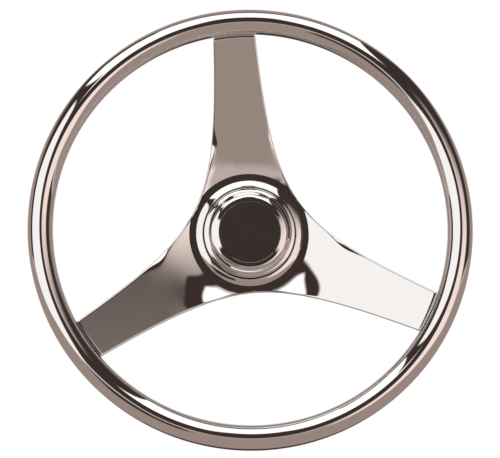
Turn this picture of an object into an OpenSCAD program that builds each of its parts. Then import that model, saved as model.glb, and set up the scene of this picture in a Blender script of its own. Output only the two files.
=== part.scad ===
// Dished marine steering wheel: a tube rim on a one-piece three-arm plate, a keyed hub bolted behind
// the plate, and a stepped snap-in cap in a turned trim ring in front of it.
// Millimetres. The shaft axis is Y, the helmsman's side faces -Y, one arm points up along +Z, and the
// origin is the middle of the hub's rear face, where the wheel seats on its shaft.

/* [Wheel] */
// Outside diameter of the rim
wheel_d = 350; // [280:1:500]
// Distance from the flat front of the plate forward to the rim's middle plane
dish = 34; // [12:1:60]

/* [Rim] */
// Outside diameter of the rim tube
rim_tube_d = 20; // [16:0.5:32]
// Wall of the rim tube
rim_wall = 1.5; // [1:0.1:3]
// Width of the weld that closes the bent tube into a ring
rim_weld_w = 1.2; // [0.6:0.1:3]
// Place of that weld round the rim, in degrees from the right-hand side: 270 is at the bottom
rim_weld_at = 270; // [240:5:300]
// Length of the sleeve inside the tube across that weld
sleeve_len = 40; // [20:1:80]
// Wall of the sleeve
sleeve_wall = 1.5; // [1:0.1:3]

/* [Arms] */
// Thickness of the pressed plate
plate_t = 3; // [2:0.1:5]
// Width of an arm where it meets the rim
arm_end_w = 33.4; // [24:0.2:50]
// Rise over run of the plate's first, gentle slope around its flat middle
first_rise = 0.17; // [0:0.01:0.3]
// Width of that first slope
first_w = 13; // [4:0.5:30]
// How slowly the gaps between the arms open out: the bend of their curved edge at the hub
gap_bend = 40; // [25:1:60]
// Distance from the rim's middle plane back to the front face of an arm's end
arm_drop = 2; // [0:0.5:5]
// Leg of the weld behind each arm's end
back_weld = 2.4; // [1.5:0.1:4]
// Leg of the dressed weld in front of each arm's end
front_weld = 1; // [0.6:0.1:2]

/* [Hub] */
// Diameter of the helm shaft that the hub takes
shaft_d = 19.05; // [16:0.05:26]
// Length of the hub's bore
bore_len = 25.4; // [18:0.1:40]
// Width of the keyway
key_w = 4.76; // [3:0.01:6.4]
// Depth of the keyway beyond the bore's wall
key_depth = 2.4; // [1.5:0.1:3.2]
// Wall of the hub around the bore
boss_wall = 12.5; // [8:0.5:18]
// Thickness of the hub's flange
flange_t = 6; // [4:0.5:10]
// Rim of the flange outside the screw circle
flange_margin = 12.8; // [6:0.1:20]
// Wall of the spigot that centres the plate
spigot_wall = 2.1; // [1.5:0.1:4]
// How far the spigot stands out in front of the plate
spigot_out = 1; // [0.2:0.1:2]
// Depth of the pocket for the shaft nut
pocket_depth = 12.5; // [9:0.5:18]
// Room around the nut's corners for a socket
socket_gap = 2.7; // [1.5:0.1:5]
// Thickness of the nylon disc between the hub and the plate
isolator_t = 0.8; // [0.4:0.1:2]

/* [Shaft nut] */
// Width across the flats of the shaft nut
nut_af = 23.8; // [19:0.1:30]
// Thread diameter of the shaft nut
nut_thread_d = 15.88; // [12:0.01:18]
// Height of the nut's hexagon
nut_hex_h = 9; // [6:0.5:14]
// Height of the nut's collar, which holds the nylon insert
nut_collar_h = 4; // [3:0.5:6]
// Thickness of the washer under the nut
washer_t = 2.5; // [1.5:0.1:4]

/* [Screws] */
// Number of screws through the plate into the hub
screw_count = 6; // [4:1:8]
// Thread diameter of those screws
screw_d = 5; // [4:0.5:6]
// Length of the screws under the head
screw_len = 12; // [10:0.5:14]
// Diameter of the screws' button heads
head_d = 9.5; // [7.6:0.1:10.5]
// Height of the button heads
head_h = 2.75; // [2:0.05:3.3]
// Thickness of the spring washers under the heads
spring_washer_t = 1; // [0.6:0.1:1.6]
// Thread diameter of the grub screws that lock the hub to the shaft
grub_d = 6; // [4:0.5:8]
// Length of the grub screws
grub_len = 8; // [5:0.5:10]

/* [Trim ring] */
// Width of the trim ring's visible band
trim_w = 5.2; // [4:0.1:10]
// Height of the band's inner edge above the plate
trim_h = 4.3; // [3.6:0.1:6]
// Radius of the band's crown
trim_crown_r = 14; // [12:0.5:30]
// Tilt of the band's surface at its inner edge, in degrees
trim_tilt = 8; // [0:1:15]
// Thickness of the foot that the carrier clamps
foot_t = 0.8; // [0.6:0.1:1.2]
// Thickness of the rubber gasket under the trim ring
gasket_t = 0.8; // [0.4:0.1:1.2]
// How far the gasket shows outside the trim ring
gasket_show = 0.4; // [0:0.1:1]
// Flat ring of plate left between the gasket and the start of the arms' slope
flat_margin = 4.8; // [3:0.1:15]

/* [Centre cap] */
// Height of the polished ring's inner edge above the screw heads
cap_room = 3.95; // [3.8:0.05:7]
// Thickness of the pressed cap
shell_t = 0.8; // [0.5:0.1:1.2]
// Slope of the polished ring around the black disc, as rise over run
ring_slope = 0.12; // [0.05:0.01:0.2]
// Steepness that the cove adds to it, as rise over run
cove_slope = 0.8; // [0.3:0.05:0.9]
// Half of the cove's width
cove_half = 4; // [3:0.1:5]
// Distance from the cap's edge in to the middle of the cove
cove_in = 4.7; // [4:0.1:6]
// Width of the polished ring around the black disc
cap_ring_w = 11.6; // [10.6:0.1:14]
// Width of the cap outside the carrier's wall
cap_rim_w = 4.5; // [4.2:0.1:6]
// Thickness of the adhesive pad under the black disc
pad_t = 0.5; // [0.3:0.1:1]
// Depth of the black disc's pocket below the ring's inner edge
disc_depth = 1.5; // [1.3:0.1:2.5]
// How far the flat black disc stands above the ring's inner edge
disc_proud = 0.3; // [0:0.1:1]
// Thickness of the plastic liner
liner_t = 1.2; // [0.8:0.1:1.5]
// Wire diameter of the ring that spreads the liner's fingers
wire_d = 1.2; // [0.8:0.1:1.4]
// Section of the sealing ring under the cap's edge
o_ring_d = 1.6; // [1:0.1:2]

/* [Carrier] */
// Thickness of the carrier's base above the trim ring's foot
carrier_t = 0.8; // [0.6:0.1:1.2]
// Height of the carrier's wall above its base
carrier_wall_h = 1.9; // [1.5:0.1:2.2]
// Thickness of the carrier's wall
carrier_wall = 1.5; // [1:0.1:2]
// Reach of the lip inside the top of the wall
lip = 0.4; // [0.2:0.1:0.6]

/* [Clearances] */
// Gap that shows between the cap and the trim ring
seam = 1.1; // [0.4:0.1:1.5]
// Gap between the cap and what it slides past
slide_gap = 0.3; // [0.3:0.05:0.6]
// Gap between pieces that are assembled together
fit_gap = 0.05; // [0.02:0.01:0.2]
// Gap around screws in clearance holes
hole_gap = 0.25; // [0.1:0.05:0.5]
// Depth to which the welds melt into what they join
melt = 0.15; // [0.05:0.05:0.3]

/* [Hidden] */
$fn = 96;
arm_count = 3;
arm_angles = [for (i = [0 : arm_count - 1]) 90 + i * 360 / arm_count];
chamfer = 1.5;
cut = 1;                        // how far a cutter runs past what it cuts

// Rim and arms
rim_r = (wheel_d - rim_tube_d) / 2;
tube_r = rim_tube_d / 2;
rim_weld_angle = rim_weld_w / rim_r * 180 / PI;
sleeve_angle = sleeve_len / rim_r * 180 / PI;
sleeve_r = tube_r - rim_wall - fit_gap;
arm_end_r = rim_r - tube_r;     // where the arms' axes reach the tube

// Outwards from the shaft: each radius clears the one before it
bore_r = shaft_d / 2;
nut_corner_r = nut_af / 2 / cos(30);
nut_bevel = 1;
insert_r = nut_thread_d / 2 + 1.6;
collar_r = nut_af / 2 - 0.8;
collar_lip = 0.8;               // steel left over the nylon insert
insert_bite = 0.3;              // how far the insert stands inside the thread
pocket_r = max(nut_corner_r + socket_gap, bore_r + socket_gap);
spigot_r = pocket_r + spigot_wall;
head_gap = 0.85;                // between the screw heads and the spigot
finger_room = 1.25;             // between the screw heads and the carrier's wall, for the liner's fingers
screw_circle_r = spigot_r + head_gap + head_d / 2;
wall_in_r = screw_circle_r + head_d / 2 + finger_room;
wall_out_r = wall_in_r + carrier_wall;
base_out_r = wall_out_r + 2.8;
cap_r = wall_out_r + cap_rim_w;
disc_r = cap_r - cap_ring_w;
cove_mid = cap_r - cove_in;
trim_in_r = cap_r + seam;
trim_out_r = trim_in_r + trim_w;
flat_r = trim_out_r + gasket_show + flat_margin;
boss_r = bore_r + boss_wall;
grub_gap = 0.6;                 // between the grub screws' points and the shaft
flange_r = screw_circle_r + flange_margin;

// Heights above the flat front of the plate, forwards
foot_top = gasket_t + foot_t;
carrier_top = foot_top + carrier_t;
heads_top = carrier_top + spring_washer_t + head_h;
cap_h = heads_top + cap_room;
wall_top = carrier_top + carrier_wall_h;
lip_h = 0.5;
bead_short = 1;                 // how far the welds stop short of an arm's edges
flange_front = -plate_t - isolator_t;
pocket_floor = spigot_out - pocket_depth;
hub_back = pocket_floor - bore_len;
bend_r = flat_r + first_w;
bend_z = first_w * first_rise;
arm_z = dish - arm_drop;        // an arm's front face where it reaches the rim
arm_rise = (arm_z - bend_z) / (arm_end_r - bend_r);
seal_r = (trim_in_r + base_out_r) / 2;
skirt_z = foot_top + o_ring_d + slide_gap;
pad_short = 1.5;                // how far the pad stops short of the disc's edge
liner_out = cap_r - 1.8;
liner_in = liner_out - 7.4;
finger_t = 1.4;
finger_half = 9;                // degrees each side of a finger's middle
finger_gap = slide_gap + 0.25;  // under the fingers' feet
bead_gap = 0.2;                 // between the fingers' beads and the lip that they catch under
wire_gap = slide_gap + 0.15;    // under the spreading ring

function clamp(v, lo, hi) = min(max(v, lo), hi);

// The cap's outer face: a gentle cone less a cove whose slope swells and fades as a squared cosine
function cove_fall(x) = cove_slope * ((x + cove_half) / 2 + cove_half / (2 * PI) * sin(180 * x / cove_half));
function cap_face(r) =
    cap_h - ring_slope * (r - disc_r) - cove_fall(clamp(r - cove_mid, -cove_half, cove_half));
// The pressed shell's inner face, dropped far enough to leave shell_t where the cove is steep
function shell_under(r) = cap_face(r) - 1.2 * shell_t;

// The edge of a gap: half a hyperbola that touches the flat disc's circle half way between two arms
// and leaves each arm arm_end_w wide where it reaches the rim
half_gap = 180 / arm_count;
end_side = arm_end_r * sin(half_gap) - arm_end_w / 2 * cos(half_gap);
end_out = arm_end_r * cos(half_gap) + arm_end_w / 2 * sin(half_gap);
gap_slope = sqrt(pow(end_out - flat_r + gap_bend, 2) - gap_bend * gap_bend) / end_side;
function gap_edge(s) = flat_r - gap_bend + sqrt(gap_bend * gap_bend + pow(gap_slope * s, 2));

// Stands a shape drawn with +Z forwards and +Y up on the plate's front face
module on_plate() translate([0, hub_back, 0]) rotate([90, 0, 0]) children();

module ring(r_out, r_in, z, h) translate([0, 0, z]) difference() {
    cylinder(r = r_out, h = h);
    translate([0, 0, -cut]) cylinder(r = r_in, h = h + 2 * cut);
}

// A piece of a turned ring, from the angle a onwards
module arc_of(a, sweep) rotate([0, 0, a]) rotate_extrude(angle = sweep) children();

module around(count, r, start = 0)
    for (i = [0 : count - 1]) rotate([0, 0, start + i * 360 / count]) translate([r, 0, 0]) children();

module tube_section(r_out, r_in) translate([rim_r, dish]) difference() {
    circle(r = r_out);
    circle(r = r_in);
}

module rim_tube() color("silver") on_plate()
    arc_of(rim_weld_at + rim_weld_angle / 2, 360 - rim_weld_angle) tube_section(tube_r, tube_r - rim_wall);

module rim_joint_sleeve() color("lightsteelblue") on_plate()
    arc_of(rim_weld_at - sleeve_angle / 2, sleeve_angle) tube_section(sleeve_r, sleeve_r - sleeve_wall);

module rim_butt_weld() color("whitesmoke") on_plate()
    arc_of(rim_weld_at - rim_weld_angle / 2, rim_weld_angle) tube_section(tube_r, sleeve_r);

// The plate cut through its middle: a flat disc that turns up into a gentle cone, then a steeper one
module plate_section(reach) {
    reach_z = bend_z + (reach - bend_r) * arm_rise;
    polygon([[spigot_r + fit_gap, -plate_t], [flat_r, -plate_t], [bend_r, bend_z - plate_t],
             [reach, reach_z - plate_t], [reach, reach_z], [bend_r, bend_z], [flat_r, 0],
             [spigot_r + fit_gap, 0]]);
}

module gap_outline() {
    far = wheel_d / 2 + 20;
    steps = 24;
    edge = [for (i = [-steps : steps]) let (s = far * sign(i) * pow(abs(i) / steps, 1.4)) [s, gap_edge(s)]];
    polygon(concat(edge, [[far, 2 * far], [-far, 2 * far]]));
}

module spoke_plate() color("gainsboro") on_plate() difference() {
    intersection() {
        rotate_extrude() plate_section(rim_r);
        translate([0, 0, -plate_t - cut]) linear_extrude(height = dish + plate_t + 2 * cut) difference() {
            circle(r = rim_r);
            for (a = arm_angles) rotate(a + half_gap - 90) gap_outline();
        }
    }
    rotate_extrude() translate([rim_r, dish]) circle(r = tube_r + fit_gap);
    rotate_extrude() translate([rim_r, dish - tube_r - 2 * cut]) square([tube_r + cut, 2 * tube_r + 4 * cut]);
    around(screw_count, screw_circle_r) translate([0, 0, -plate_t - cut])
        cylinder(d = screw_d + 2 * hole_gap, h = plate_t + 2 * cut);
}

// One weld bead: a round of the given leg about the corner that the arm's face makes with the tube
module bead_section(leg, face_z, side) {
    corner_z = face_z - dish;
    corner_r = rim_r - sqrt(tube_r * tube_r - corner_z * corner_z);
    difference() {
        translate([corner_r, face_z]) circle(r = leg);
        translate([rim_r, dish]) circle(r = tube_r - melt);
        translate([corner_r - 2 * leg, face_z - side * melt - (side > 0 ? 4 * leg : 0)])
            square([4 * leg, 4 * leg]);
    }
}

module arm_welds() color("lightgray") on_plate() {
    half = asin((arm_end_w / 2 - bead_short) / arm_end_r);
    for (a = arm_angles) {
        arc_of(a - half, 2 * half) bead_section(back_weld, arm_z - plate_t, -1);
        arc_of(a - half, 2 * half) bead_section(front_weld, arm_z, 1);
    }
}

module hub() color("darkgray") on_plate() difference() {
    rotate_extrude() polygon([
        [0, hub_back], [boss_r - chamfer, hub_back], [boss_r, hub_back + chamfer],
        [boss_r, flange_front - flange_t - 3 * chamfer], [boss_r + 3 * chamfer, flange_front - flange_t],
        [flange_r - chamfer, flange_front - flange_t], [flange_r, flange_front - flange_t + chamfer],
        [flange_r, flange_front], [spigot_r, flange_front], [spigot_r, spigot_out], [0, spigot_out]]);
    translate([0, 0, hub_back - cut]) cylinder(r = bore_r, h = bore_len + 2 * cut);
    translate([0, 0, pocket_floor]) cylinder(r = pocket_r, h = pocket_depth + cut);
    translate([-key_w / 2, 0, hub_back - cut]) cube([key_w, bore_r + key_depth, bore_len + 2 * cut]);
    around(screw_count, screw_circle_r) translate([0, 0, flange_front - flange_t - cut])
        cylinder(d = screw_d + 2 * fit_gap, h = flange_t + 2 * cut);
    grub_places() cylinder(d = grub_d + 2 * fit_gap, h = boss_r);
}

// The grub screws' axes, square to the bore: +Z runs outwards from the shaft's axis
module grub_places() for (a = [225, 315])
    rotate([0, 0, a]) translate([0, 0, hub_back + grub_d * 1.4]) rotate([0, 90, 0]) children();

module grub_screws() color("dimgray") on_plate() grub_places()
    translate([0, 0, bore_r + grub_gap]) difference() {
    cylinder(d = grub_d, h = grub_len);
    translate([0, 0, grub_len - grub_d / 2]) cylinder(d = grub_d / 2 / cos(30), h = grub_d, $fn = 6);
}

module hub_isolator() color("ivory") on_plate() difference() {
    ring(flange_r, spigot_r + fit_gap, flange_front, isolator_t);
    around(screw_count, screw_circle_r) translate([0, 0, flange_front - cut])
        cylinder(d = screw_d + 2 * hole_gap, h = isolator_t + 2 * cut);
}

module hub_screws() color("slategray") on_plate() around(screw_count, screw_circle_r) {
    seat = carrier_top + spring_washer_t;
    dome_r = (head_d * head_d / 4 + head_h * head_h) / (2 * head_h);
    difference() {
        union() {
            translate([0, 0, seat - screw_len]) cylinder(d = screw_d, h = screw_len + head_h / 2);
            intersection() {
                translate([0, 0, seat]) cylinder(d = head_d, h = head_h);
                translate([0, 0, seat + head_h - dome_r]) sphere(r = dome_r);
            }
        }
        translate([0, 0, seat + head_h / 3]) cylinder(d = screw_d * 0.6 / cos(30), h = head_h, $fn = 6);
    }
}

module screw_washers() color("silver") on_plate() around(screw_count, screw_circle_r) difference() {
    ring(head_d / 2 - hole_gap, screw_d / 2 + hole_gap, carrier_top, spring_washer_t);
    translate([0, 0, carrier_top - cut]) rotate([0, 0, 30])
        cube([head_d, spring_washer_t / 2, spring_washer_t + 2 * cut]);
}

module shaft_washer() color("silver") on_plate()
    ring(pocket_r - hole_gap, nut_thread_d / 2 + hole_gap, pocket_floor, washer_t);

module shaft_nut() color("lightgray") on_plate() translate([0, 0, pocket_floor + washer_t]) difference() {
    union() {
        intersection() {
            cylinder(r = nut_corner_r, h = nut_hex_h, $fn = 6);
            cylinder(r1 = nut_corner_r + nut_hex_h - nut_bevel, r2 = nut_corner_r - nut_bevel, h = nut_hex_h);
        }
        cylinder(r = collar_r, h = nut_hex_h + nut_collar_h);
    }
    translate([0, 0, -cut]) cylinder(d = nut_thread_d, h = nut_hex_h + nut_collar_h + 2 * cut);
    translate([0, 0, nut_hex_h]) cylinder(r = insert_r + fit_gap, h = nut_collar_h - collar_lip);
}

module nut_insert() color("royalblue") on_plate()
    ring(insert_r, nut_thread_d / 2 - insert_bite,
         pocket_floor + washer_t + nut_hex_h, nut_collar_h - collar_lip - fit_gap);

module cap_carrier() color("dimgray") on_plate() difference() {
    rotate_extrude() polygon([
        [spigot_r + hole_gap, 0], [wall_out_r, 0], [wall_out_r, foot_top],
        [base_out_r, foot_top], [base_out_r, carrier_top], [wall_out_r, carrier_top],
        [wall_out_r, wall_top], [wall_in_r - lip, wall_top], [wall_in_r - lip, wall_top - lip_h],
        [wall_in_r, wall_top - lip_h], [wall_in_r, carrier_top], [spigot_r + hole_gap, carrier_top]]);
    around(screw_count, screw_circle_r) translate([0, 0, -cut])
        cylinder(d = screw_d + 2 * hole_gap, h = carrier_top + 2 * cut);
}

module trim_gasket() color("black") on_plate()
    ring(trim_out_r + gasket_show, wall_out_r + 2 * fit_gap, 0, gasket_t);

module trim_ring() color("gainsboro") on_plate() rotate_extrude() {
    crown_x = trim_in_r - trim_crown_r * sin(trim_tilt);
    translate([wall_out_r + 2 * fit_gap, gasket_t]) square([trim_in_r - wall_out_r, foot_t]);
    intersection() {
        translate([crown_x, trim_h - trim_crown_r * cos(trim_tilt)]) circle(r = trim_crown_r, $fn = 192);
        translate([trim_in_r, gasket_t]) square([trim_w, trim_h]);
    }
}

module cap_seal_ring() color("black") on_plate()
    rotate_extrude() translate([seal_r, foot_top + o_ring_d / 2]) circle(d = o_ring_d);

module cap_shell() color("gainsboro") on_plate() rotate_extrude() {
    steps = 24;
    inner_r = cap_r - shell_t;
    pocket_z = cap_h - disc_depth;
    outer = [for (i = [0 : steps]) let (r = disc_r + (cap_r - disc_r) * i / steps) [r, cap_face(r)]];
    under = [for (i = [0 : steps]) let (r = inner_r + (disc_r + shell_t - inner_r) * i / steps)
             [r, shell_under(r)]];
    polygon(concat([[0, pocket_z], [disc_r, pocket_z]], outer, [[cap_r, skirt_z], [inner_r, skirt_z]],
                   under, [[disc_r + shell_t, pocket_z - shell_t], [0, pocket_z - shell_t]]));
}

module cap_pad() color("dimgray") on_plate()
    translate([0, 0, cap_h - disc_depth]) cylinder(r = disc_r - pad_short, h = pad_t);

module cap_disc() color([0.06, 0.05, 0.05]) on_plate() {
    edge_r = disc_r - slide_gap;
    bevel = disc_proud + slide_gap / 2;
    rotate_extrude() polygon([
        [0, cap_h - disc_depth + pad_t], [edge_r, cap_h - disc_depth + pad_t],
        [edge_r, cap_h + disc_proud - bevel], [edge_r - bevel, cap_h + disc_proud], [0, cap_h + disc_proud]]);
}

module cap_liner() color("darkslategray") on_plate() {
    steps = 12;
    radii = [for (i = [0 : steps]) liner_in + (liner_out - liner_in) * i / steps];
    bead_top = wall_top - lip_h - bead_gap;
    finger_foot = carrier_top + finger_gap;
    rotate_extrude() polygon(concat(
        [for (r = radii) [r, shell_under(r) - fit_gap]],
        [for (i = [steps : -1 : 0]) [radii[i], shell_under(radii[i]) - fit_gap - liner_t]]));
    for (i = [0 : screw_count - 1])
        arc_of((i + 0.5) * 360 / screw_count - finger_half, 2 * finger_half) polygon([
            [liner_in, finger_foot], [liner_in + finger_t, finger_foot],
            [wall_in_r - lip - slide_gap, (finger_foot + bead_top) / 2], [liner_in + finger_t, bead_top],
            [liner_in + finger_t, shell_under(liner_in + finger_t) - liner_t / 2],
            [liner_in, shell_under(liner_in) - liner_t / 2]]);
}

module cap_spring_ring() color("silver") on_plate() arc_of(100, 340)
    translate([liner_in - wire_d / 2 - fit_gap, heads_top + wire_gap + wire_d / 2]) circle(d = wire_d);

rim_tube();
rim_joint_sleeve();
rim_butt_weld();
spoke_plate();
arm_welds();
hub();
hub_isolator();
hub_screws();
screw_washers();
grub_screws();
shaft_washer();
shaft_nut();
nut_insert();
cap_carrier();
trim_gasket();
trim_ring();
cap_seal_ring();
cap_shell();
cap_pad();
cap_disc();
cap_liner();
cap_spring_ring();
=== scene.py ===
import math
import bpy
import numpy as np
from mathutils import Matrix, Vector


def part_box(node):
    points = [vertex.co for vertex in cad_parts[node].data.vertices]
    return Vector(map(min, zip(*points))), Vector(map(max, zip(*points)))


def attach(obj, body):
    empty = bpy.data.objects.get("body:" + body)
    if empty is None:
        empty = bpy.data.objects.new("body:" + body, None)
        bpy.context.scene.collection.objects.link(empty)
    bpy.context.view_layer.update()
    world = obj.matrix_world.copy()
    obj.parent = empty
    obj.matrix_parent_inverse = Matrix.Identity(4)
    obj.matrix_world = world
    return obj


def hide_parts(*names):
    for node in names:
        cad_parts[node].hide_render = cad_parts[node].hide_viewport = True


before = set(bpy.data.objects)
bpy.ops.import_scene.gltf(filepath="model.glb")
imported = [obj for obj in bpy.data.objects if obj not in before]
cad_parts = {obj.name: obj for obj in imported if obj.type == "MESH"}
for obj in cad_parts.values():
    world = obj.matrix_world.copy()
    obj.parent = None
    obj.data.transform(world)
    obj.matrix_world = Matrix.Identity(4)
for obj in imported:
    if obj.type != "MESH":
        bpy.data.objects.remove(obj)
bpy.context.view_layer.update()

# ---- Camera ----------------------------------------------------------------------------------------
# A long lens about two metres in front of the wheel and a little below it, looking up. The wheel hangs
# on its shaft a few degrees round from upright, so the camera leans by the same angle.

mm = 0.001
azimuth, elevation, lean = math.radians(-2.7), math.radians(-8), math.radians(-4.9)
tube_low, tube_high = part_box("rim_tube")
rim_plane = (tube_low.y + tube_high.y) / 2
level = Vector((math.cos(azimuth), math.sin(azimuth), 0))
to_camera = Vector((math.sin(azimuth) * math.cos(elevation), -math.cos(azimuth) * math.cos(elevation),
                    math.sin(elevation)))
upright = to_camera.cross(level)
cam_right = level * math.cos(lean) + upright * math.sin(lean)
cam_up = to_camera.cross(cam_right)
shift_right, shift_up, cam_distance = 0.63 * mm, 1.1 * mm, 2.0
aim = Vector((0, rim_plane, 0)) - cam_right * shift_right - cam_up * shift_up

camera_data = bpy.data.cameras.new("camera")
camera_data.sensor_width = 36
camera_data.lens = 183.3
camera = bpy.data.objects.new("camera", camera_data)
camera.matrix_world = Matrix((cam_right, cam_up, to_camera)).transposed().to_4x4()
camera.location = aim + to_camera * cam_distance
bpy.context.scene.collection.objects.link(camera)
bpy.context.scene.camera = camera

# ---- Studio ----------------------------------------------------------------------------------------
# White cloth panels above and to the left, a cream one to the right, a warm grey floor cloth and the
# dark room between them, which the polished steel mirrors. Behind the wheel the room is light above and
# dim below, and the backdrop itself is plain white.

world = bpy.data.worlds.new("studio")
world.use_nodes = True
bpy.context.scene.world = world
sky = world.node_tree
sky.nodes.clear()


def add(tree, kind, **settings):
    """A new node of this kind, with its properties set by name and its inputs by number, as i0=..., i1=..."""
    node = tree.nodes.new("ShaderNode" + kind)
    for key, value in settings.items():
        if key[0] == "i" and key[1:].isdigit():
            node.inputs[int(key[1:])].default_value = value
        else:
            setattr(node, key, value)
    return node


def sums(tree, operation, a, b=None, c=None):
    """A Math node: a, b and c are numbers or sockets."""
    node = add(tree, "Math", operation=operation)
    for place, value in enumerate((a, b, c)):
        if value is None:
            continue
        if isinstance(value, (int, float)):
            node.inputs[place].default_value = value
        else:
            tree.links.new(value, node.inputs[place])
    return node.outputs[0]


def linear(red, green, blue, gain=1.0):
    """A screen colour of 0 to 255 as linear light: c / 12.92, or ((c + 0.055) / 1.055)^2.4."""
    c = np.array([red, green, blue]) / 255
    light = np.where(c <= 0.04045, c / 12.92, ((c + 0.055) / 1.055) ** 2.4) * gain
    return (*light.tolist(), 1)


# The direction of a ray as degrees right of and above the line to the camera: the angle from that line
# is t, and (right, up) = (x, y) t / sin t.
ray = add(sky, "TexCoord").outputs["Generated"]


def along(axis):
    """How far the ray goes along this axis."""
    node = add(sky, "VectorMath", operation="DOT_PRODUCT", i1=axis)
    sky.links.new(ray, node.inputs[0])
    return node.outputs["Value"]


angle = sums(sky, "MULTIPLY", sums(sky, "ARCCOSINE", along(to_camera)), 180 / math.pi)
x, y = along(cam_right), along(cam_up)
spread = sums(sky, "SQRT", sums(sky, "ADD", sums(sky, "MULTIPLY", x, x), sums(sky, "MULTIPLY", y, y)))
stretch = sums(sky, "DIVIDE", angle, sums(sky, "MAXIMUM", spread, 1e-4))
place = add(sky, "CombineXYZ")
sky.links.new(sums(sky, "MULTIPLY", x, stretch), place.inputs[0])
sky.links.new(sums(sky, "MULTIPLY", y, stretch), place.inputs[1])


def side_of(a, b, soft):
    """1 to the left of the line from a to b, 0 to its right, with a smooth step 2 soft degrees wide."""
    run, rise = b[0] - a[0], b[1] - a[1]
    length = math.hypot(run, rise)
    normal = (-rise / length, run / length, 0)
    node = add(sky, "VectorMath", operation="DOT_PRODUCT", i1=normal)
    sky.links.new(place.outputs[0], node.inputs[0])
    level_there = normal[0] * a[0] + normal[1] * a[1]
    step = add(sky, "MapRange", interpolation_type="SMOOTHSTEP", i1=level_there - soft, i2=level_there + soft)
    sky.links.new(node.outputs["Value"], step.inputs[0])
    return step.outputs[0]


def panel(under, colour, soft, corners):
    """Lays a convex panel over what is under it. Its corners go round anticlockwise, in degrees, and soft
    is the softness of its edges in degrees: one number, or one for each edge."""
    cover = None
    softs = soft if isinstance(soft, list) else [soft] * len(corners)
    for a, b, s in zip(corners, corners[1:] + corners[:1], softs):
        edge = side_of(a, b, s)
        cover = edge if cover is None else sums(sky, "MULTIPLY", cover, edge)
    mix = add(sky, "Mix", data_type="RGBA")
    sky.links.new(cover, mix.inputs[0])
    if isinstance(under, tuple):
        mix.inputs[6].default_value = under
    else:
        sky.links.new(under, mix.inputs[6])
    mix.inputs[7].default_value = colour
    return mix.outputs[2]


# Steel sends back 0.86 of the light, so a cloth is that much lighter than it looks in the metal, and the
# white and cream ones are lit a little more. Panels that run on end at the far angle, where no ray goes.
steel_share = 1 / 0.86
far = 230
dark_room = linear(56, 46, 43, steel_share)
grey_cloth = linear(150, 135, 127, steel_share)
pale_cloth = linear(186, 172, 168, steel_share)
pale_fold = linear(196, 182, 178, steel_share)
side_white = linear(243, 242, 242, 1.19)
top_white = linear(252, 252, 252, 1.3)
cream = linear(238, 221, 214, 1.2)
seen = dark_room
for colour, soft, corners in [
        # The floor cloth, pale where it rises to the level of the wheel, with its folds and gaps.
        (pale_cloth, 1, [(-far, 0), (-far, -far), (far, -far), (far, 0)]),
        (grey_cloth, 3.5, [(-far, -4.5), (-far, -far), (far, -far), (far, -4.5)]),
        (dark_room, 1, [(-30, -9), (-28, -24), (-7, -23), (-5, -10)]),
        (pale_cloth, [1, 4, 1, 1, 1], [(9, 0.5), (9, -6), (30, -6), (30, 4), (15, 3.5)]),
        (dark_room, 1, [(-24, -9.5), (-9, -9.5), (-9, -3), (-14, 2)]),
        (pale_fold, 1, [(-4, 8), (-34, -6), (-60, -13), (-32, -12), (-6, -4)]),
        (dark_room, 7, [(-far, -114), (-far, -150), (far, -150), (far, -114)]),
        # Grey cloth overhead and at both sides.
        (grey_cloth, 5, [(-far, 98), (far, 98), (far, far), (-far, far)]),
        (grey_cloth, 4, [(-91, far), (-far, far), (-far, -13), (-91, -13)]),
        (grey_cloth, 8, [(94, -110), (far, -110), (far, far), (94, far)]),
        # The white panel at the left, the cream one at the right, a dark gap, and two white ones above.
        (side_white, 0.8, [(-3, 15.5), (-21, 32.5), (-45, 50), (-70, 32), (-74, -5), (-60, -12), (-25, -8)]),
        (cream, [2, 4, 15.7, 1], [(14.5, -13), (56, -13), (56, 25.5), (17.5, 25.5)]),
        (dark_room, 0.8, [(16, 27.5), (25, 30.5), (28, 35), (28.5, 40), (26, 47), (21, 43)]),
        (top_white, 0.8, [(-12.5, 28), (18, 32.5), (23, 42), (50, 88), (-32, 88)]),
        (top_white, 0.8, [(-15.3, 36.5), (-10, 60), (-20, 84), (-56, 78), (-58, 66)]),
        # Someone who stands before the white panels, dark against them.
        (dark_room, 1, [(-2, 24), (8, 24), (7, 40), (0, 40)]),
        (dark_room, 0.8, [(-12.2, 24), (14, 24), (14, 31.5), (10.6, 33.6), (4, 34.6), (-2.6, 33.6),
                          (-5.6, 32.4), (-9.2, 29.6), (-12.2, 26.2)])]:
    seen = panel(seen, colour, soft, corners)

# Behind the wheel the room is light above and dim below: the mix is 0.5 + 0.9 times the ray's way up.
rear_dim = linear(104, 94, 90, steel_share)
rear_light = linear(238, 236, 234, steel_share)
rear = add(sky, "Mix", data_type="RGBA", i6=rear_dim, i7=rear_light)
sky.links.new(sums(sky, "MULTIPLY_ADD", y, 0.9, 0.5), rear.inputs[0])
rear_from, rear_full = 140, 158
turned_away = add(sky, "MapRange", interpolation_type="SMOOTHSTEP", i1=rear_from, i2=rear_full)
sky.links.new(angle, turned_away.inputs[0])
all_round = add(sky, "Mix", data_type="RGBA")
sky.links.new(turned_away.outputs[0], all_round.inputs[0])
sky.links.new(seen, all_round.inputs[6])
sky.links.new(rear.outputs[2], all_round.inputs[7])

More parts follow.
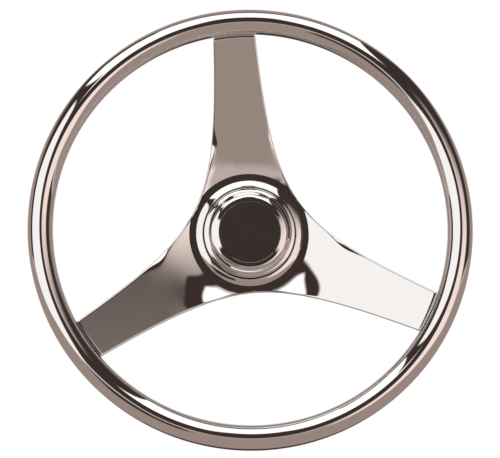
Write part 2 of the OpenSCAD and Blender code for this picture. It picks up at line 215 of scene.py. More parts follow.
paths = add(sky, "LightPath")
glow = add(sky, "Background", i1=1.0)
sky.links.new(all_round.outputs[2], glow.inputs[0])
soft_room = add(sky, "Background", i0=(0.9, 0.9, 0.9, 1), i1=1.0)
backdrop = add(sky, "Background", i0=(1, 1, 1, 1), i1=1.0)
lit = add(sky, "MixShader")
shown = add(sky, "MixShader")
out = add(sky, "OutputWorld")
sky.links.new(paths.outputs["Is Diffuse Ray"], lit.inputs[0])
sky.links.new(glow.outputs[0], lit.inputs[1])
sky.links.new(soft_room.outputs[0], lit.inputs[2])
sky.links.new(paths.outputs["Is Camera Ray"], shown.inputs[0])
sky.links.new(lit.outputs[0], shown.inputs[1])
sky.links.new(backdrop.outputs[0], shown.inputs[2])
sky.links.new(shown.outputs[0], out.inputs[0])
bpy.context.scene.view_settings.view_transform = "Standard"

lamp_data = bpy.data.lights.new("soft_light", "AREA")
lamp_data.shape = "SQUARE"
lamp_data.size = 1.5
lamp_data.energy = 12
lamp = bpy.data.objects.new("soft_light", lamp_data)
lamp.location = (-0.9, -1.3, 1.3)
lamp.rotation_mode = "QUATERNION"
lamp.rotation_quaternion = (-lamp.location).to_track_quat("-Z", "Y")
lamp.visible_glossy = False
bpy.context.scene.collection.objects.link(lamp)


# ---- Rim tube --------------------------------------------------------------------------------------
# A round stainless tube, bent into a ring, its ends closed by one weld at the bottom and the whole
# mirror-polished. Its wall is modelled, so the tube is hollow.


def surface(name, points, faces, body, slot_name, material, *nodes, sharp=()):
    """A piece from points of shape (n, 3) in metres and lists of faces with equal numbers of corners.
    Its faces point outwards if the sum of v0 . (v1 x v2) / 6 over its triangles, its volume, is above 0.
    The edges between the points of each ring in sharp stay crisp, and all others are smooth."""
    points = np.asarray(points, float)
    volume = 0.0
    for f in faces:
        v = points[f]
        for k in range(1, f.shape[1] - 1):
            volume += np.einsum("ij,ij->i", v[:, 0], np.cross(v[:, k], v[:, k + 1])).sum() / 6
    if volume < 0:
        faces = [f[:, ::-1] for f in faces]
    mesh = bpy.data.meshes.new(name)
    sizes = np.concatenate([np.full(len(f), f.shape[1]) for f in faces])
    mesh.vertices.add(len(points))
    mesh.vertices.foreach_set("co", points.astype(np.float32).ravel())
    mesh.loops.add(int(sizes.sum()))
    mesh.loops.foreach_set("vertex_index", np.concatenate([f.ravel() for f in faces]).astype(np.int32))
    mesh.polygons.add(len(sizes))
    mesh.polygons.foreach_set("loop_start", np.concatenate([[0], np.cumsum(sizes)[:-1]]).astype(np.int32))
    mesh.polygons.foreach_set("use_smooth", np.ones(len(sizes), bool))
    mesh.update(calc_edges=True)
    mesh.validate()
    if sharp:
        ends = np.empty(2 * len(mesh.edges), np.int32)
        mesh.edges.foreach_get("vertices", ends)
        ends = ends.reshape(-1, 2)
        crisp = np.any([np.isin(ends, ring).all(1) for ring in sharp], axis=0)
        mesh.attributes.new("sharp_edge", "BOOLEAN", "EDGE").data.foreach_set("value", crisp)
    mesh.materials.append(material)
    piece = bpy.data.objects.new(name, mesh)
    bpy.context.scene.collection.objects.link(piece)
    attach(piece, body)
    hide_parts(*nodes)


def cells(rows, columns, close_rows=False, close_columns=False, start=0):
    """Quads of a grid of points numbered row by row from start. A closed side joins its last to its first."""
    i = np.arange(rows if close_rows else rows - 1)[:, None]
    j = np.arange(columns if close_columns else columns - 1)[None, :]
    i2, j2 = (i + 1) % rows, (j + 1) % columns
    return start + np.stack([i * columns + j, i * columns + j2, i2 * columns + j2, i2 * columns + j],
                            -1).reshape(-1, 4)


def polished(name, rough):
    """Mirror-polished steel: faint clouds in its roughness from buffing, and hairlines too fine to see
    one by one."""
    colour = (0.87, 0.85, 0.835, 1)
    material = bpy.data.materials.new(name)
    material.use_nodes = True
    tree = material.node_tree
    shader = tree.nodes["Principled BSDF"]
    shader.inputs["Metallic"].default_value = 1
    where = add(tree, "TexCoord").outputs["Object"]
    clouds = add(tree, "TexNoise")
    clouds.inputs["Scale"].default_value = 55
    clouds.inputs["Detail"].default_value = 5
    hair = add(tree, "TexNoise")
    hair.inputs["Scale"].default_value = 1400
    hair.inputs["Detail"].default_value = 2
    tree.links.new(where, clouds.inputs["Vector"])
    tree.links.new(where, hair.inputs["Vector"])
    tone = add(tree, "MapRange", i1=0.3, i2=0.7, i3=rough * 0.6, i4=rough * 1.5)
    tree.links.new(clouds.outputs[0], tone.inputs[0])
    tree.links.new(tone.outputs[0], shader.inputs["Roughness"])
    shade = add(tree, "Mix", data_type="RGBA")
    shade.inputs[6].default_value = tuple(0.97 * c for c in colour[:3]) + (1,)
    shade.inputs[7].default_value = colour
    tree.links.new(clouds.outputs[0], shade.inputs[0])
    tree.links.new(shade.outputs[2], shader.inputs["Base Color"])
    bump = add(tree, "Bump")
    bump.inputs["Strength"].default_value = 0.006
    bump.inputs["Distance"].default_value = 0.0003
    tree.links.new(hair.outputs[0], bump.inputs["Height"])
    tree.links.new(bump.outputs[0], shader.inputs["Normal"])
    return material


tube_r = (tube_high.y - tube_low.y) / 2
wheel_r = (tube_high.x - tube_low.x) / 2
rim_r = wheel_r - tube_r
rim_wall = 1.5 * mm
weld_w = 1.2 * mm
weld_angle = math.radians(270)
weld_half = weld_w / rim_r / 2


def tube_arc(radius, start, end, steps, sides):
    """Points on a tube bent round the shaft: at the angle a and the angle b round the section,
    ((R + r cos b) cos a, y0 + r sin b, (R + r cos b) sin a). Shape (steps, sides, 3)."""
    a = np.linspace(start, end, steps)[:, None]
    b = np.linspace(0, 2 * np.pi, sides, endpoint=False)[None, :]
    reach = rim_r + radius * np.cos(b)
    return np.stack([reach * np.cos(a), rim_plane + radius * np.sin(b) + 0 * a, reach * np.sin(a)], -1)


rim_steel = polished("rim_polished_stainless", 0.018)
steps, sides = 960, 96
bore_steps, bore_sides = 161, 24
tube_start, tube_end = weld_angle + weld_half, weld_angle + 2 * np.pi - weld_half
outer = tube_arc(tube_r, tube_start, tube_end, steps, sides)
inner = tube_arc(tube_r - rim_wall, tube_start, tube_end, bore_steps, bore_sides)
last_outer = (steps - 1) * sides
first_inner = steps * sides
last_inner = first_inner + (bore_steps - 1) * bore_sides
skin = cells(steps, sides, close_columns=True)
bore = cells(bore_steps, bore_sides, close_columns=True, start=first_inner)[:, ::-1]


def end_cap(outer_row, inner_row):
    """The flat ring at a tube's end, with several outer points to each inner one: from each inner point a
    fan of triangles to its own outer ones, and one more triangle to the next inner point."""
    k = np.arange(bore_sides)
    fan = sides // bore_sides
    tris = [np.stack([outer_row + k * fan + n, outer_row + (k * fan + n + 1) % sides, inner_row + k], -1)
            for n in range(fan)]
    tris.append(np.stack([outer_row + (k + 1) * fan % sides, inner_row + (k + 1) % bore_sides,
                          inner_row + k], -1))
    return np.concatenate(tris)


surface("rim", np.concatenate([outer.reshape(-1, 3), inner.reshape(-1, 3)]),
        [np.concatenate([skin, bore]),
         np.concatenate([end_cap(0, first_inner), end_cap(last_outer, last_inner)[:, ::-1]])],
        "wheel", "polished_stainless", rim_steel, "rim_tube",
        sharp=[np.arange(sides), last_outer + np.arange(sides), first_inner + np.arange(bore_sides),
               last_inner + np.arange(bore_sides)])

# ---- Spoke plate -----------------------------------------------------------------------------------
# One sheet of 3 mm stainless, laser-cut to three arms, pressed into a shallow dish round a flat middle
# and mirror-polished. The pressing turns its edges down, most in the hollow left of the upper arm.

arm_angles = np.radians([90, 210, 330])
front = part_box("trim_gasket")[1].y
spigot_r = 18.54 * mm
plate_t = 3 * mm
flat_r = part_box("trim_gasket")[1].x + 4.8 * mm
gap_bend = 40 * mm
arm_end_w = 33.4 * mm
dish = front - rim_plane
arm_end_r = rim_r - tube_r
end_side = arm_end_r * math.sin(math.pi / 3) - arm_end_w / 2 * math.cos(math.pi / 3)
end_out = arm_end_r * math.cos(math.pi / 3) + arm_end_w / 2 * math.sin(math.pi / 3)
gap_slope = math.sqrt((end_out - flat_r + gap_bend) ** 2 - gap_bend ** 2) / end_side
arm_drop = 2 * mm
edge_round = 0.9 * mm

# The slope of the plate against the radius: a tight bend at the flat middle, then a slow one.
radii = np.linspace(0, 0.18, 3601)


def ease(x):
    """0 below 0, 1 above 1 and x x (3 - 2 x) between."""
    x = np.clip(x, 0, 1)
    return x * x * (3 - 2 * x)


first_bend, crease_w, slow_bend = 0.17, 2.2 * mm, 26 * mm
crease = ease((radii - flat_r + crease_w / 2) / crease_w)
slow = ease((radii - flat_r) / slow_bend)
gain = np.concatenate([[0], np.cumsum((slow[1:] + slow[:-1]) / 2 * np.diff(radii))])
base = np.concatenate([[0], np.cumsum((crease[1:] + crease[:-1]) / 2 * np.diff(radii))]) * first_bend
end_at = np.searchsorted(radii, arm_end_r)
rise = base + gain * ((dish - arm_drop) - base[end_at]) / gain[end_at]


def plate_height(r, a):
    """Height in front of the flat middle at the radius r and the angle a from an arm's middle line.
    The dish is round near the hub, where height = rise(r), and each arm flattens further out, where
    height = rise(r cos a)."""
    flat_from, flat_over = 58 * mm, 34 * mm
    flatness = ease((r - flat_from) / flat_over)
    return np.interp(r - (r - r * np.cos(a)) * flatness, radii, rise)


def rolled_edge(r, inside, roll):
    """How far the pressing has turned the sheet's edge down, at the distance inside from that edge:
    drop = t w / 3 (1 - d / w)^3, so the slope t (1 - d / w)^2 grows towards the edge. The width w and the
    slope t are largest at the hollow's radius, and fall off either side as exp(-(r - hollow)^2 / reach^2).
    A side whose roll is 0 keeps the least width and slope throughout."""
    hollow_r, hollow_reach = 75 * mm, 11 * mm
    narrow, widening, least = 1.2, 8.8, 0.08
    where = np.exp(-((r - hollow_r) / hollow_reach) ** 2) * (roll > 0)
    width = (narrow + widening * where) * mm
    steep = least + roll * where
    return steep * width / 3 * np.clip(1 - inside / width, 0, 1) ** 3


# The edge of a gap: w = flat_r - bend + sqrt(bend^2 + (slope s)^2), with w outwards along the gap's
# middle and s across it. Its points lie closest together near the flat middle.
s_try = np.linspace(0, 0.2, 4001)
w_try = flat_r - gap_bend + np.sqrt(gap_bend ** 2 + (gap_slope * s_try) ** 2)
plate_end_r = rim_r - math.sqrt(tube_r ** 2 - arm_drop ** 2) - 0.05 * mm
s_end = np.interp(plate_end_r - edge_round, np.hypot(s_try, w_try), s_try)
share = np.linspace(0, 1, 100)
s_edge = s_end * (0.45 * share + 0.55 * share ** 2)
w_edge = flat_r - gap_bend + np.sqrt(gap_bend ** 2 + (gap_slope * s_edge) ** 2)
w_slope = gap_slope ** 2 * s_edge / (w_edge - flat_r + gap_bend)
out_s, out_w = -w_slope / np.hypot(1, w_slope), 1 / np.hypot(1, w_slope)
inset_s, inset_w = s_edge - edge_round * out_s, w_edge - edge_round * out_w
row_r = np.hypot(inset_s, inset_w)
row_half = math.pi / 3 - np.arctan2(inset_s, inset_w)

# Places across an arm from -1 to 1, closest together at its edges.
most = math.pi / 2 * 0.93
across = np.sin(np.linspace(-1, 1, 61) * most) / math.sin(most)

# How steeply each side of each arm is turned down, against the angle round the shaft in degrees.
roll_angle = [29, 31, 88, 92, 149, 151, 208, 212, 268, 272, 328, 332]
roll_slope = [0.02, 0.05, 0.05, 0.28, 0.28, 0.08, 0.08, 0, 0, 0, 0, 0.02]


def to_row(r, angle, height):
    """Points (r cos a, front - h, r sin a) at a radius and an angle about the shaft, and a height in front
    of the plate's flat middle."""
    return np.stack(np.broadcast_arrays(r * np.cos(angle), front - height, r * np.sin(angle)), -1)


def plate_face(sign):
    """The front face (sign 1) or the back face (-1) of the plate: its points and quads, and the numbers of
    the points round its outline and round its hole. Inside the flat middle's edge the rows are whole
    circles, outside it they are arcs across each arm."""
    hole, middle_r = spigot_r + 0.05 * mm, 40 * mm
    inner_r = np.concatenate([np.linspace(hole + edge_round / 3, middle_r, 6)[:-1],
                              np.linspace(middle_r, row_r[0], 14)])
    n_in, n_out, n_across = len(inner_r), len(row_r), len(across)
    turns = np.concatenate([a + across[:-1] * math.pi / 3 for a in arm_angles])
    from_arm = np.tile(across[:-1] * math.pi / 3, 3)
    drop = 0 if sign > 0 else plate_t

    def height(r, a, inside, middle):
        """Height of the face: the dish, less the roll at the distance inside, less the sheet's thickness
        on the back."""
        roll = np.interp((np.degrees(middle + a) + 360) % 360, roll_angle, roll_slope)
        return plate_height(r, a) - rolled_edge(r, inside, roll) - drop

    reach = inner_r[:, None]
    inside = np.maximum(row_r[0] - reach, 0) + (1 - np.abs(from_arm[None, :]) / (math.pi / 3)) * reach
    face_height = height(reach, from_arm[None, :], inside, (turns - from_arm)[None, :])
    points = [to_row(reach, turns[None, :], face_height).reshape(-1, 3)]
    faces = [cells(n_in, len(turns), close_columns=True)]
    count = n_in * len(turns)
    last_ring = (n_in - 1) * len(turns) + np.arange(len(turns))
    outline = []
    for k, middle in enumerate(arm_angles):
        r = row_r[1:, None]
        a = across[None, :] * row_half[1:, None]
        inside = (1 - np.abs(across[None, :])) * row_half[1:, None] * r
        points.append(to_row(r, middle + a, height(r, a, inside, middle)).reshape(-1, 3))
        grid = np.vstack([last_ring[(k * (n_across - 1) + np.arange(n_across)) % len(turns)],
                          count + np.arange((n_out - 1) * n_across).reshape(n_out - 1, n_across)])
        quads = np.stack([grid[:-1, :-1], grid[:-1, 1:], grid[1:, 1:], grid[1:, :-1]], -1)
        faces.append(quads.reshape(-1, 4))
        outline.append(np.concatenate([grid[:, 0], grid[-1, 1:-1], grid[:, -1][:0:-1]]))
        count += (n_out - 1) * n_across
    return np.concatenate(points), np.concatenate(faces), np.concatenate(outline), np.arange(len(turns))


def round_strip(front_row, outwards, back_row):
    """Rounds an edge over: from the front points by a quarter turn of radius edge_round, R sin b outwards
    and R (1 - cos b) backwards, then along the cut edge and in by another quarter turn to the back ones."""
    quarter = np.radians([15, 30, 45, 60, 75, 90])
    rows = []
    for points, way, turn in ((front_row, 1, quarter), (back_row, -1, quarter[::-1])):
        for b in turn:
            row = points + outwards * (edge_round * math.sin(b))
            row[:, 1] += way * (edge_round * (1 - math.cos(b)))
            rows.append(row)
    return rows


def joined(rows):
    """Quads between closed rows of point numbers, each row joined to the next."""
    rows = np.stack(rows)
    after = np.roll(rows, -1, 1)
    return np.stack([rows[:-1], after[:-1], after[1:], rows[1:]], -1).reshape(-1, 4)


front_points, front_faces, outline, hole_loop = plate_face(1)
back_points, back_faces, _, _ = plate_face(-1)
n_face = len(front_points)
edge_front, edge_back = front_points[outline], back_points[outline]


def edge_side(step):
    """The way out of the plate, square to each step (x, z) along its outline: (z, 0, -x) / length."""
    side = np.stack([step[:, 2], 0 * step[:, 0], -step[:, 0]], -1)
    return side / np.linalg.norm(side, axis=1)[:, None]


# Out of the corner between two steps: (a + b) / (1 + a . b), where a and b are the ways out of each.
side_on = edge_side(np.roll(edge_front, -1, 0) - edge_front)
side_back = edge_side(edge_front - np.roll(edge_front, 1, 0))
mitre = (side_on + side_back) / (1 + (side_on * side_back).sum(1))[:, None]
strip = round_strip(edge_front, mitre, edge_back)
n_edge = len(outline)
strip_rows = [2 * n_face + k * n_edge + np.arange(n_edge) for k in range(len(strip))]
strip_faces = joined([outline, *strip_rows, n_face + outline])
hole_faces = joined([hole_loop, n_face + hole_loop])
plate_steel = polished("plate_polished_stainless", 0.01)
surface("spoke_plate_polished", np.concatenate([front_points, back_points] + strip),
        [np.concatenate([front_faces, (back_faces + n_face)[:, ::-1], strip_faces, hole_faces[:, ::-1]])],
        "wheel", "polished_stainless", plate_steel, "spoke_plate")

# ---- Rim's closing weld and inner sleeve -----------------------------------------------------------
# The tube's two ends meet over a short sleeve that centres them, and one full-penetration weld closes
# them. The weld is ground flush and polished with the tube; the sleeve inside keeps its mill finish.


def plain_metal(name, colour, rough, fine, depth, stretch=(1, 1, 1)):
    """Unpolished metal: fine grain in its height and roughness, drawn out along one axis by stretch."""
    material = bpy.data.materials.new(name)
    material.use_nodes = True
    tree = material.node_tree
    shader = tree.nodes["Principled BSDF"]
    shader.inputs["Metallic"].default_value = 1
    where = add(tree, "TexCoord").outputs["Object"]
    turn = add(tree, "Mapping")
    turn.inputs["Scale"].default_value = stretch
    grain = add(tree, "TexNoise")
    grain.inputs["Scale"].default_value = fine
    grain.inputs["Detail"].default_value = 4
    stains = add(tree, "TexNoise")
    stains.inputs["Scale"].default_value = 60
    stains.inputs["Detail"].default_value = 5
    tree.links.new(where, turn.inputs[0])
    tree.links.new(turn.outputs[0], grain.inputs["Vector"])
    tree.links.new(where, stains.inputs["Vector"])
    shade = add(tree, "Mix", data_type="RGBA")
    shade.inputs[6].default_value = tuple(0.8 * c for c in colour[:3]) + (1,)
    shade.inputs[7].default_value = colour
    tree.links.new(stains.outputs[0], shade.inputs[0])
    tree.links.new(shade.outputs[2], shader.inputs["Base Color"])
    tone = add(tree, "MapRange", i1=0.3, i2=0.7, i3=rough * 0.75, i4=rough * 1.3)
    tree.links.new(grain.outputs[0], tone.inputs[0])
    tree.links.new(tone.outputs[0], shader.inputs["Roughness"])
    bump = add(tree, "Bump")
    bump.inputs["Strength"].default_value = depth
    bump.inputs["Distance"].default_value = 0.0005
    tree.links.new(grain.outputs[0], bump.inputs["Height"])
    tree.links.new(bump.outputs[0], shader.inputs["Normal"])
    return material


def coat(material, *names):
    """Gives this material to CAD nodes that are shown as they are."""
    for node_name in names:
        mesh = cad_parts[node_name].data
        mesh.materials.clear()
        mesh.materials.append(material)


weld_steel = polished("weld_polished_stainless", 0.022)
sleeve_r = tube_r - rim_wall - 0.05 * mm
bead_steps = 7
bead_out = tube_arc(tube_r, weld_angle - weld_half, weld_angle + weld_half, bead_steps, sides)
bead_in = tube_arc(sleeve_r, weld_angle - weld_half, weld_angle + weld_half, bead_steps, sides)
around_bead = np.concatenate([bead_out, bead_in[::-1]])
surface("rim_butt_weld_polished", around_bead.reshape(-1, 3), [cells(2 * bead_steps, sides, True, True)],
        "wheel", "polished_stainless", weld_steel, "rim_butt_weld",
        sharp=[k * sides + np.arange(sides) for k in (0, bead_steps - 1, bead_steps, 2 * bead_steps - 1)])
coat(plain_metal("mill_stainless", (0.62, 0.60, 0.58, 1), 0.38, 500, 0.08, (1, 8, 1)), "rim_joint_sleeve")

# ---- Arm welds -------------------------------------------------------------------------------------
# Each arm's end is welded to the tube: a heavier bead behind, where nobody looks, and a light one in
# front that is dressed back and polished into a small fillet.

coat(plain_metal("dressed_weld", (0.70, 0.68, 0.66, 1), 0.22, 900, 0.15), "arm_welds")

# ---- Trim ring and its gasket ----------------------------------------------------------------------
# A turned stainless ring with a crowned, mirror-polished band. Its thin foot is clamped by the cap's
# carrier, over a black rubber gasket that shows as a fine line outside it.


def rounded(corners, corner_radii):
    """A closed profile of (radius, height) corners, each rounded to its radius by an arc of a few points:
    the arc's centre is on the corner's bisector and its ends are r / tan(half the angle) from the corner.
    A guard point beside each arc keeps the flats next to it flat in the shading."""
    arc_step, guard = 12, 0.12 * mm
    corners = [np.array(c, float) for c in corners]
    line = []
    for k, (here, r) in enumerate(zip(corners, corner_radii)):
        before, after = corners[k - 1], corners[(k + 1) % len(corners)]
        u, v = before - here, after - here
        lu, lv = np.linalg.norm(u), np.linalg.norm(v)
        u, v = u / lu, v / lv
        half = math.acos(max(-1, min(1, u @ v))) / 2
        if r <= 0 or half > math.pi / 2 - 0.02:
            line.append(here)
            continue
        cut_back = min(r / math.tan(half), 0.45 * lu, 0.45 * lv)
        r = cut_back * math.tan(half)
        centre = here + (u + v) / np.linalg.norm(u + v) * r / math.sin(half)
        start, end = here + u * cut_back - centre, here + v * cut_back - centre
        a0, a1 = math.atan2(start[1], start[0]), math.atan2(end[1], end[0])
        sweep = (a1 - a0 + math.pi) % (2 * math.pi) - math.pi
        if lu > 4 * guard + cut_back:
            line.append(here + u * (cut_back + guard))
        a = a0 + sweep * np.linspace(0, 1, max(3, int(abs(sweep) / math.radians(arc_step)) + 1))
        line.extend(np.stack([centre[0] + r * np.cos(a), centre[1] + r * np.sin(a)], -1))
        if lv > 4 * guard + cut_back:
            line.append(here + v * (cut_back + guard))
    return np.array(line)


def turned(name, profile, segments, body, slot_name, material, *nodes):
    """A turned piece: its closed profile of (radius, height before the plate), carried round the shaft.
    A profile that starts and ends on the axis closes there with a fan of triangles."""
    profile = np.asarray(profile)
    turn = np.linspace(0, 2 * np.pi, segments, endpoint=False)
    on_axis = 1e-7
    if profile[0, 0] > on_axis:
        points = to_row(profile[:, :1], turn[None, :], profile[:, 1:]).reshape(-1, 3)
        faces = [cells(len(profile), segments, True, True)]
    else:
        middle = profile[1:-1]
        circles = to_row(middle[:, :1], turn[None, :], middle[:, 1:]).reshape(-1, 3)
        points = np.concatenate([circles, to_row(0, 0, profile[[0, -1], 1])])
        first_pole, last = len(circles), len(circles) - segments
        k = np.arange(segments)
        k2 = (k + 1) % segments
        fan_a = np.stack([np.full(segments, first_pole), k2, k], -1)
        fan_b = np.stack([np.full(segments, first_pole + 1), last + k, last + k2], -1)
        faces = [cells(len(middle), segments, close_columns=True), np.concatenate([fan_a, fan_b])]
    surface(name, points, faces, body, slot_name, material, *nodes)


gasket_low, gasket_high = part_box("trim_gasket")
trim_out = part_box("trim_ring")[1].x
gasket_out, gasket_t = gasket_high.x, front - gasket_low.y
trim_w, trim_h, foot_t = 5.2 * mm, 4.3 * mm, 0.8 * mm
crown_r, crown_tilt = 14 * mm, math.radians(8)
trim_in = trim_out - trim_w
foot_in = trim_in - 5.1 * mm
crown_x = trim_in - crown_r * math.sin(crown_tilt)
crown_z = trim_h - crown_r * math.cos(crown_tilt)
band_r = np.linspace(trim_in + 0.35 * mm, trim_out - 0.3 * mm, 24)
band = np.stack([band_r, crown_z + np.sqrt(crown_r ** 2 - (band_r - crown_x) ** 2)], -1)
outer_z = crown_z + math.sqrt(crown_r ** 2 - (trim_out - crown_x) ** 2)
corner_in = rounded([(foot_in, gasket_t + foot_t), (trim_in, gasket_t + foot_t), (trim_in, trim_h),
                     tuple(band[4])], [0.1 * mm, 0.25 * mm, 0.35 * mm, 0])
corner_out = rounded([tuple(band[-5]), (trim_out, outer_z), (trim_out, gasket_t), (foot_in, gasket_t)],
                     [0, 0.3 * mm, 0.15 * mm, 0.1 * mm])
trim_profile = np.concatenate([corner_in[:-1], band[4:-5], corner_out])
trim_steel = polished("trim_polished_stainless", 0.014)
turned("trim_ring_polished", trim_profile, 320, "wheel", "polished_stainless", trim_steel, "trim_ring")


def moulded(name, colour, rough, scale, depth, gloss=0.5, worn=0.8):
    """Plastic or rubber: a fine mould texture in its height, and slow changes of tone and gloss."""
    material = bpy.data.materials.new(name)
    material.use_nodes = True
    tree = material.node_tree
    shader = tree.nodes["Principled BSDF"]
    shader.inputs["Specular IOR Level"].default_value = gloss
    where = add(tree, "TexCoord").outputs["Object"]
    grain = add(tree, "TexNoise")
    grain.inputs["Scale"].default_value = scale
    grain.inputs["Detail"].default_value = 3
    dust = add(tree, "TexNoise")
    dust.inputs["Scale"].default_value = 90
    dust.inputs["Detail"].default_value = 6
    tree.links.new(where, grain.inputs["Vector"])
    tree.links.new(where, dust.inputs["Vector"])
    shade = add(tree, "Mix", data_type="RGBA")
    shade.inputs[6].default_value = tuple(worn * c for c in colour[:3]) + (1,)
    shade.inputs[7].default_value = colour
    tree.links.new(dust.outputs[0], shade.inputs[0])
    tree.links.new(shade.outputs[2], shader.inputs["Base Color"])
    tone = add(tree, "MapRange", i1=0.3, i2=0.7, i3=rough * 0.8, i4=rough * 1.2)
    tree.links.new(dust.outputs[0], tone.inputs[0])
    tree.links.new(tone.outputs[0], shader.inputs["Roughness"])
    bump = add(tree, "Bump")
    bump.inputs["Strength"].default_value = depth
    bump.inputs["Distance"].default_value = 0.0004
    tree.links.new(grain.outputs[0], bump.inputs["Height"])
    tree.links.new(bump.outputs[0], shader.inputs["Normal"])
    return material


rubber = moulded("black_rubber", (0.022, 0.021, 0.021, 1), 0.6, 1500, 0.15, 0.35)
gasket_profile = rounded([(foot_in, 0), (gasket_out, 0), (gasket_out, gasket_t), (foot_in, gasket_t)],
                         [0.05 * mm, 0.15 * mm, 0.3 * mm, 0.05 * mm])
turned("trim_gasket_moulded", gasket_profile, 256, "wheel", "black_rubber", rubber, "trim_gasket")
coat(rubber, "cap_seal_ring")

# ---- Centre cap ------------------------------------------------------------------------------------
# A cap pressed from thin stainless: a pocket for the disc, whose dark tone is painted reflection, a gently
# sloped ring and a cove round it and a short skirt, mirror-polished. It snaps over the carrier and pulls
# straight off.

shell_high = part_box("cap_shell")[1]
disc_low, disc_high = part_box("cap_disc")
cap_r = shell_high.x
disc_r = disc_high.x + 0.3 * mm
disc_proud = 0.3 * mm
cap_h = front - disc_low.y - disc_proud
skirt_z = front - shell_high.y
shell_t, pocket_depth, ring_slope = 0.8 * mm, 1.5 * mm, 0.12
under_drop = 1.2 * shell_t
cove_slope, cove_half, cove_mid = 0.8, 4 * mm, cap_r - 4.7 * mm


def cap_face(r):
    """The cap's outer face: a gentle cone less a cove whose slope swells as a squared cosine."""
    x = np.clip(r - cove_mid, -cove_half, cove_half)
    fall = cove_slope * ((x + cove_half) / 2 + cove_half / (2 * np.pi) * np.sin(np.pi * x / cove_half))
    return cap_h - ring_slope * (r - disc_r) - fall


pocket_z = cap_h - pocket_depth
face_r = np.linspace(disc_r + 0.6 * mm, cap_r - 0.7 * mm, 72)
face_line = np.stack([face_r, cap_face(face_r)], -1)
under_r = np.linspace(cap_r - shell_t - 0.6 * mm, disc_r + shell_t + 0.3 * mm, 40)
under_line = np.stack([under_r, cap_face(under_r) - under_drop], -1)
lip_in = rounded([(0, pocket_z), (disc_r, pocket_z), (disc_r, float(cap_face(disc_r))), tuple(face_line[0])],
                 [0, 0.25 * mm, 0.2 * mm, 0])
skirt_in, wall_r = cap_r - shell_t, disc_r + shell_t
skirt = rounded([tuple(face_line[-1]), (cap_r, float(cap_face(cap_r))), (cap_r, skirt_z), (skirt_in, skirt_z),
                 (skirt_in, float(cap_face(skirt_in)) - under_drop), tuple(under_line[0])],
                [0, 0.5 * mm, 0.2 * mm, 0.2 * mm, 0.3 * mm, 0])
pocket_under = rounded([tuple(under_line[-1]), (wall_r, float(cap_face(wall_r)) - under_drop),
                        (wall_r, pocket_z - shell_t), (0, pocket_z - shell_t)], [0, 0.2 * mm, 0.3 * mm, 0])
shell_profile = np.concatenate([lip_in, face_line[1:-1], skirt, under_line[1:-1], pocket_under])
cap_steel = polished("cap_polished_stainless", 0.014)
turned("cap_shell_polished", shell_profile, 320, "centre_cap", "polished_stainless", cap_steel, "cap_shell")

# ---- Disc with painted reflection ------------------------------------------------------------------
# A glossy disc that fills the cap's pocket, very slightly crowned, on a foam adhesive pad. Its warm
# near-black colour is painted reflection: the dark room as the polished steel round it would mirror it.
# The pad and what holds the cap, its liner, spring ring and carrier, keep their CAD shapes.

disc_edge_r = disc_high.x
disc_base, disc_top = front - disc_high.y, cap_h + disc_proud
disc_sag = 0.12 * mm
dome_r = np.linspace(0, disc_edge_r - 0.9 * mm, 30)
dome = np.stack([dome_r, disc_top - disc_sag * (dome_r / disc_edge_r) ** 2], -1)
disc_edge = rounded([tuple(dome[-1]), (disc_edge_r, disc_top - 1.2 * disc_sag), (disc_edge_r, disc_base),
                     (0, disc_base)], [0, 0.4 * mm, 0.2 * mm, 0])
# Painted reflection: the disc's base colour is the dark room as polished steel mirrors it, put into the
# disc's colour.
gloss = moulded("black_gloss", (0.040, 0.030, 0.027, 1), 0.03, 900, 0.004, 0.4)
turned("cap_disc_painted_reflection", np.concatenate([dome[:-1], disc_edge]), 256, "centre_cap", "black_gloss", gloss,
       "cap_disc")
coat(moulded("foam_tape", (0.10, 0.10, 0.105, 1), 0.9, 2500, 0.5, 0.2), "cap_pad")
coat(moulded("carrier_acetal", (0.03, 0.03, 0.032, 1), 0.42, 1200, 0.08), "cap_carrier", "cap_liner")
coat(plain_metal("spring_wire", (0.55, 0.53, 0.50, 1), 0.25, 800, 0.05), "cap_spring_ring")

# ---- Hub, isolator and fasteners -------------------------------------------------------------------
# A turned alloy hub with a keyed bore for the helm shaft, bolted behind the plate over a nylon disc that
# keeps the two metals apart. Six button screws, two grub screws and a nylon-insert nut hold it all.


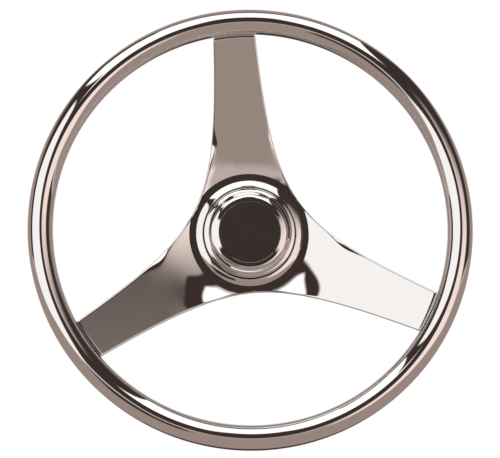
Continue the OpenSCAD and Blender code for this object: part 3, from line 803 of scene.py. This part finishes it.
def lathe_marks(name, colour, rough):
    """Turned metal: rings of tool marks round the shaft, in place of the grain in the metal's height. The
    wave goes as sin(20 s r), so a scale s of 2 pi / (20 pitch) gives one ring per pitch."""
    pitch = 0.9 * mm
    material = plain_metal(name, colour, rough, 700, 0.035)
    tree = material.node_tree
    marks = add(tree, "TexWave", wave_type="RINGS", rings_direction="Y")
    marks.inputs["Scale"].default_value = 2 * math.pi / (20 * pitch)
    marks.inputs["Distortion"].default_value = 0.1
    marks.inputs["Detail"].default_value = 0
    tree.links.new(tree.nodes["Texture Coordinate"].outputs["Object"], marks.inputs["Vector"])
    bump = tree.nodes["Bump"]
    bump.inputs["Distance"].default_value = 0.0002
    tree.links.new(marks.outputs["Fac"], bump.inputs["Height"])
    return material


coat(lathe_marks("hub_alloy", (0.70, 0.695, 0.68, 1), 0.28), "hub")
coat(moulded("white_nylon", (0.80, 0.79, 0.75, 1), 0.45, 1100, 0.06, 0.5, 0.93), "hub_isolator")
coat(plain_metal("fastener_steel", (0.66, 0.65, 0.63, 1), 0.2, 1000, 0.06),
     "hub_screws", "screw_washers", "grub_screws", "shaft_washer", "shaft_nut")
coat(moulded("blue_nylon", (0.05, 0.13, 0.42, 1), 0.4, 1000, 0.06), "nut_insert")

# ---- Floor -----------------------------------------------------------------------------------------
# A pale cloth far below the wheel, which softens the light from underneath. It belongs to the set and
# not to the wheel.

floor_mesh = bpy.data.meshes.new("floor")
reach, floor_z = 20, -1.1
floor_mesh.from_pydata([(-reach, -reach, floor_z), (reach, -reach, floor_z), (reach, reach, floor_z),
                        (-reach, reach, floor_z)], [], [(0, 1, 2, 3)])
floor = bpy.data.objects.new("floor", floor_mesh)
bpy.context.scene.collection.objects.link(floor)
floor_cloth = bpy.data.materials.new("floor_cloth")
floor_cloth.use_nodes = True
floor_shader = floor_cloth.node_tree.nodes["Principled BSDF"]
floor_shader.inputs["Base Color"].default_value = (0.92, 0.92, 0.92, 1)
floor_shader.inputs["Roughness"].default_value = 0.9
floor_mesh.materials.append(floor_cloth)
floor.visible_glossy = False
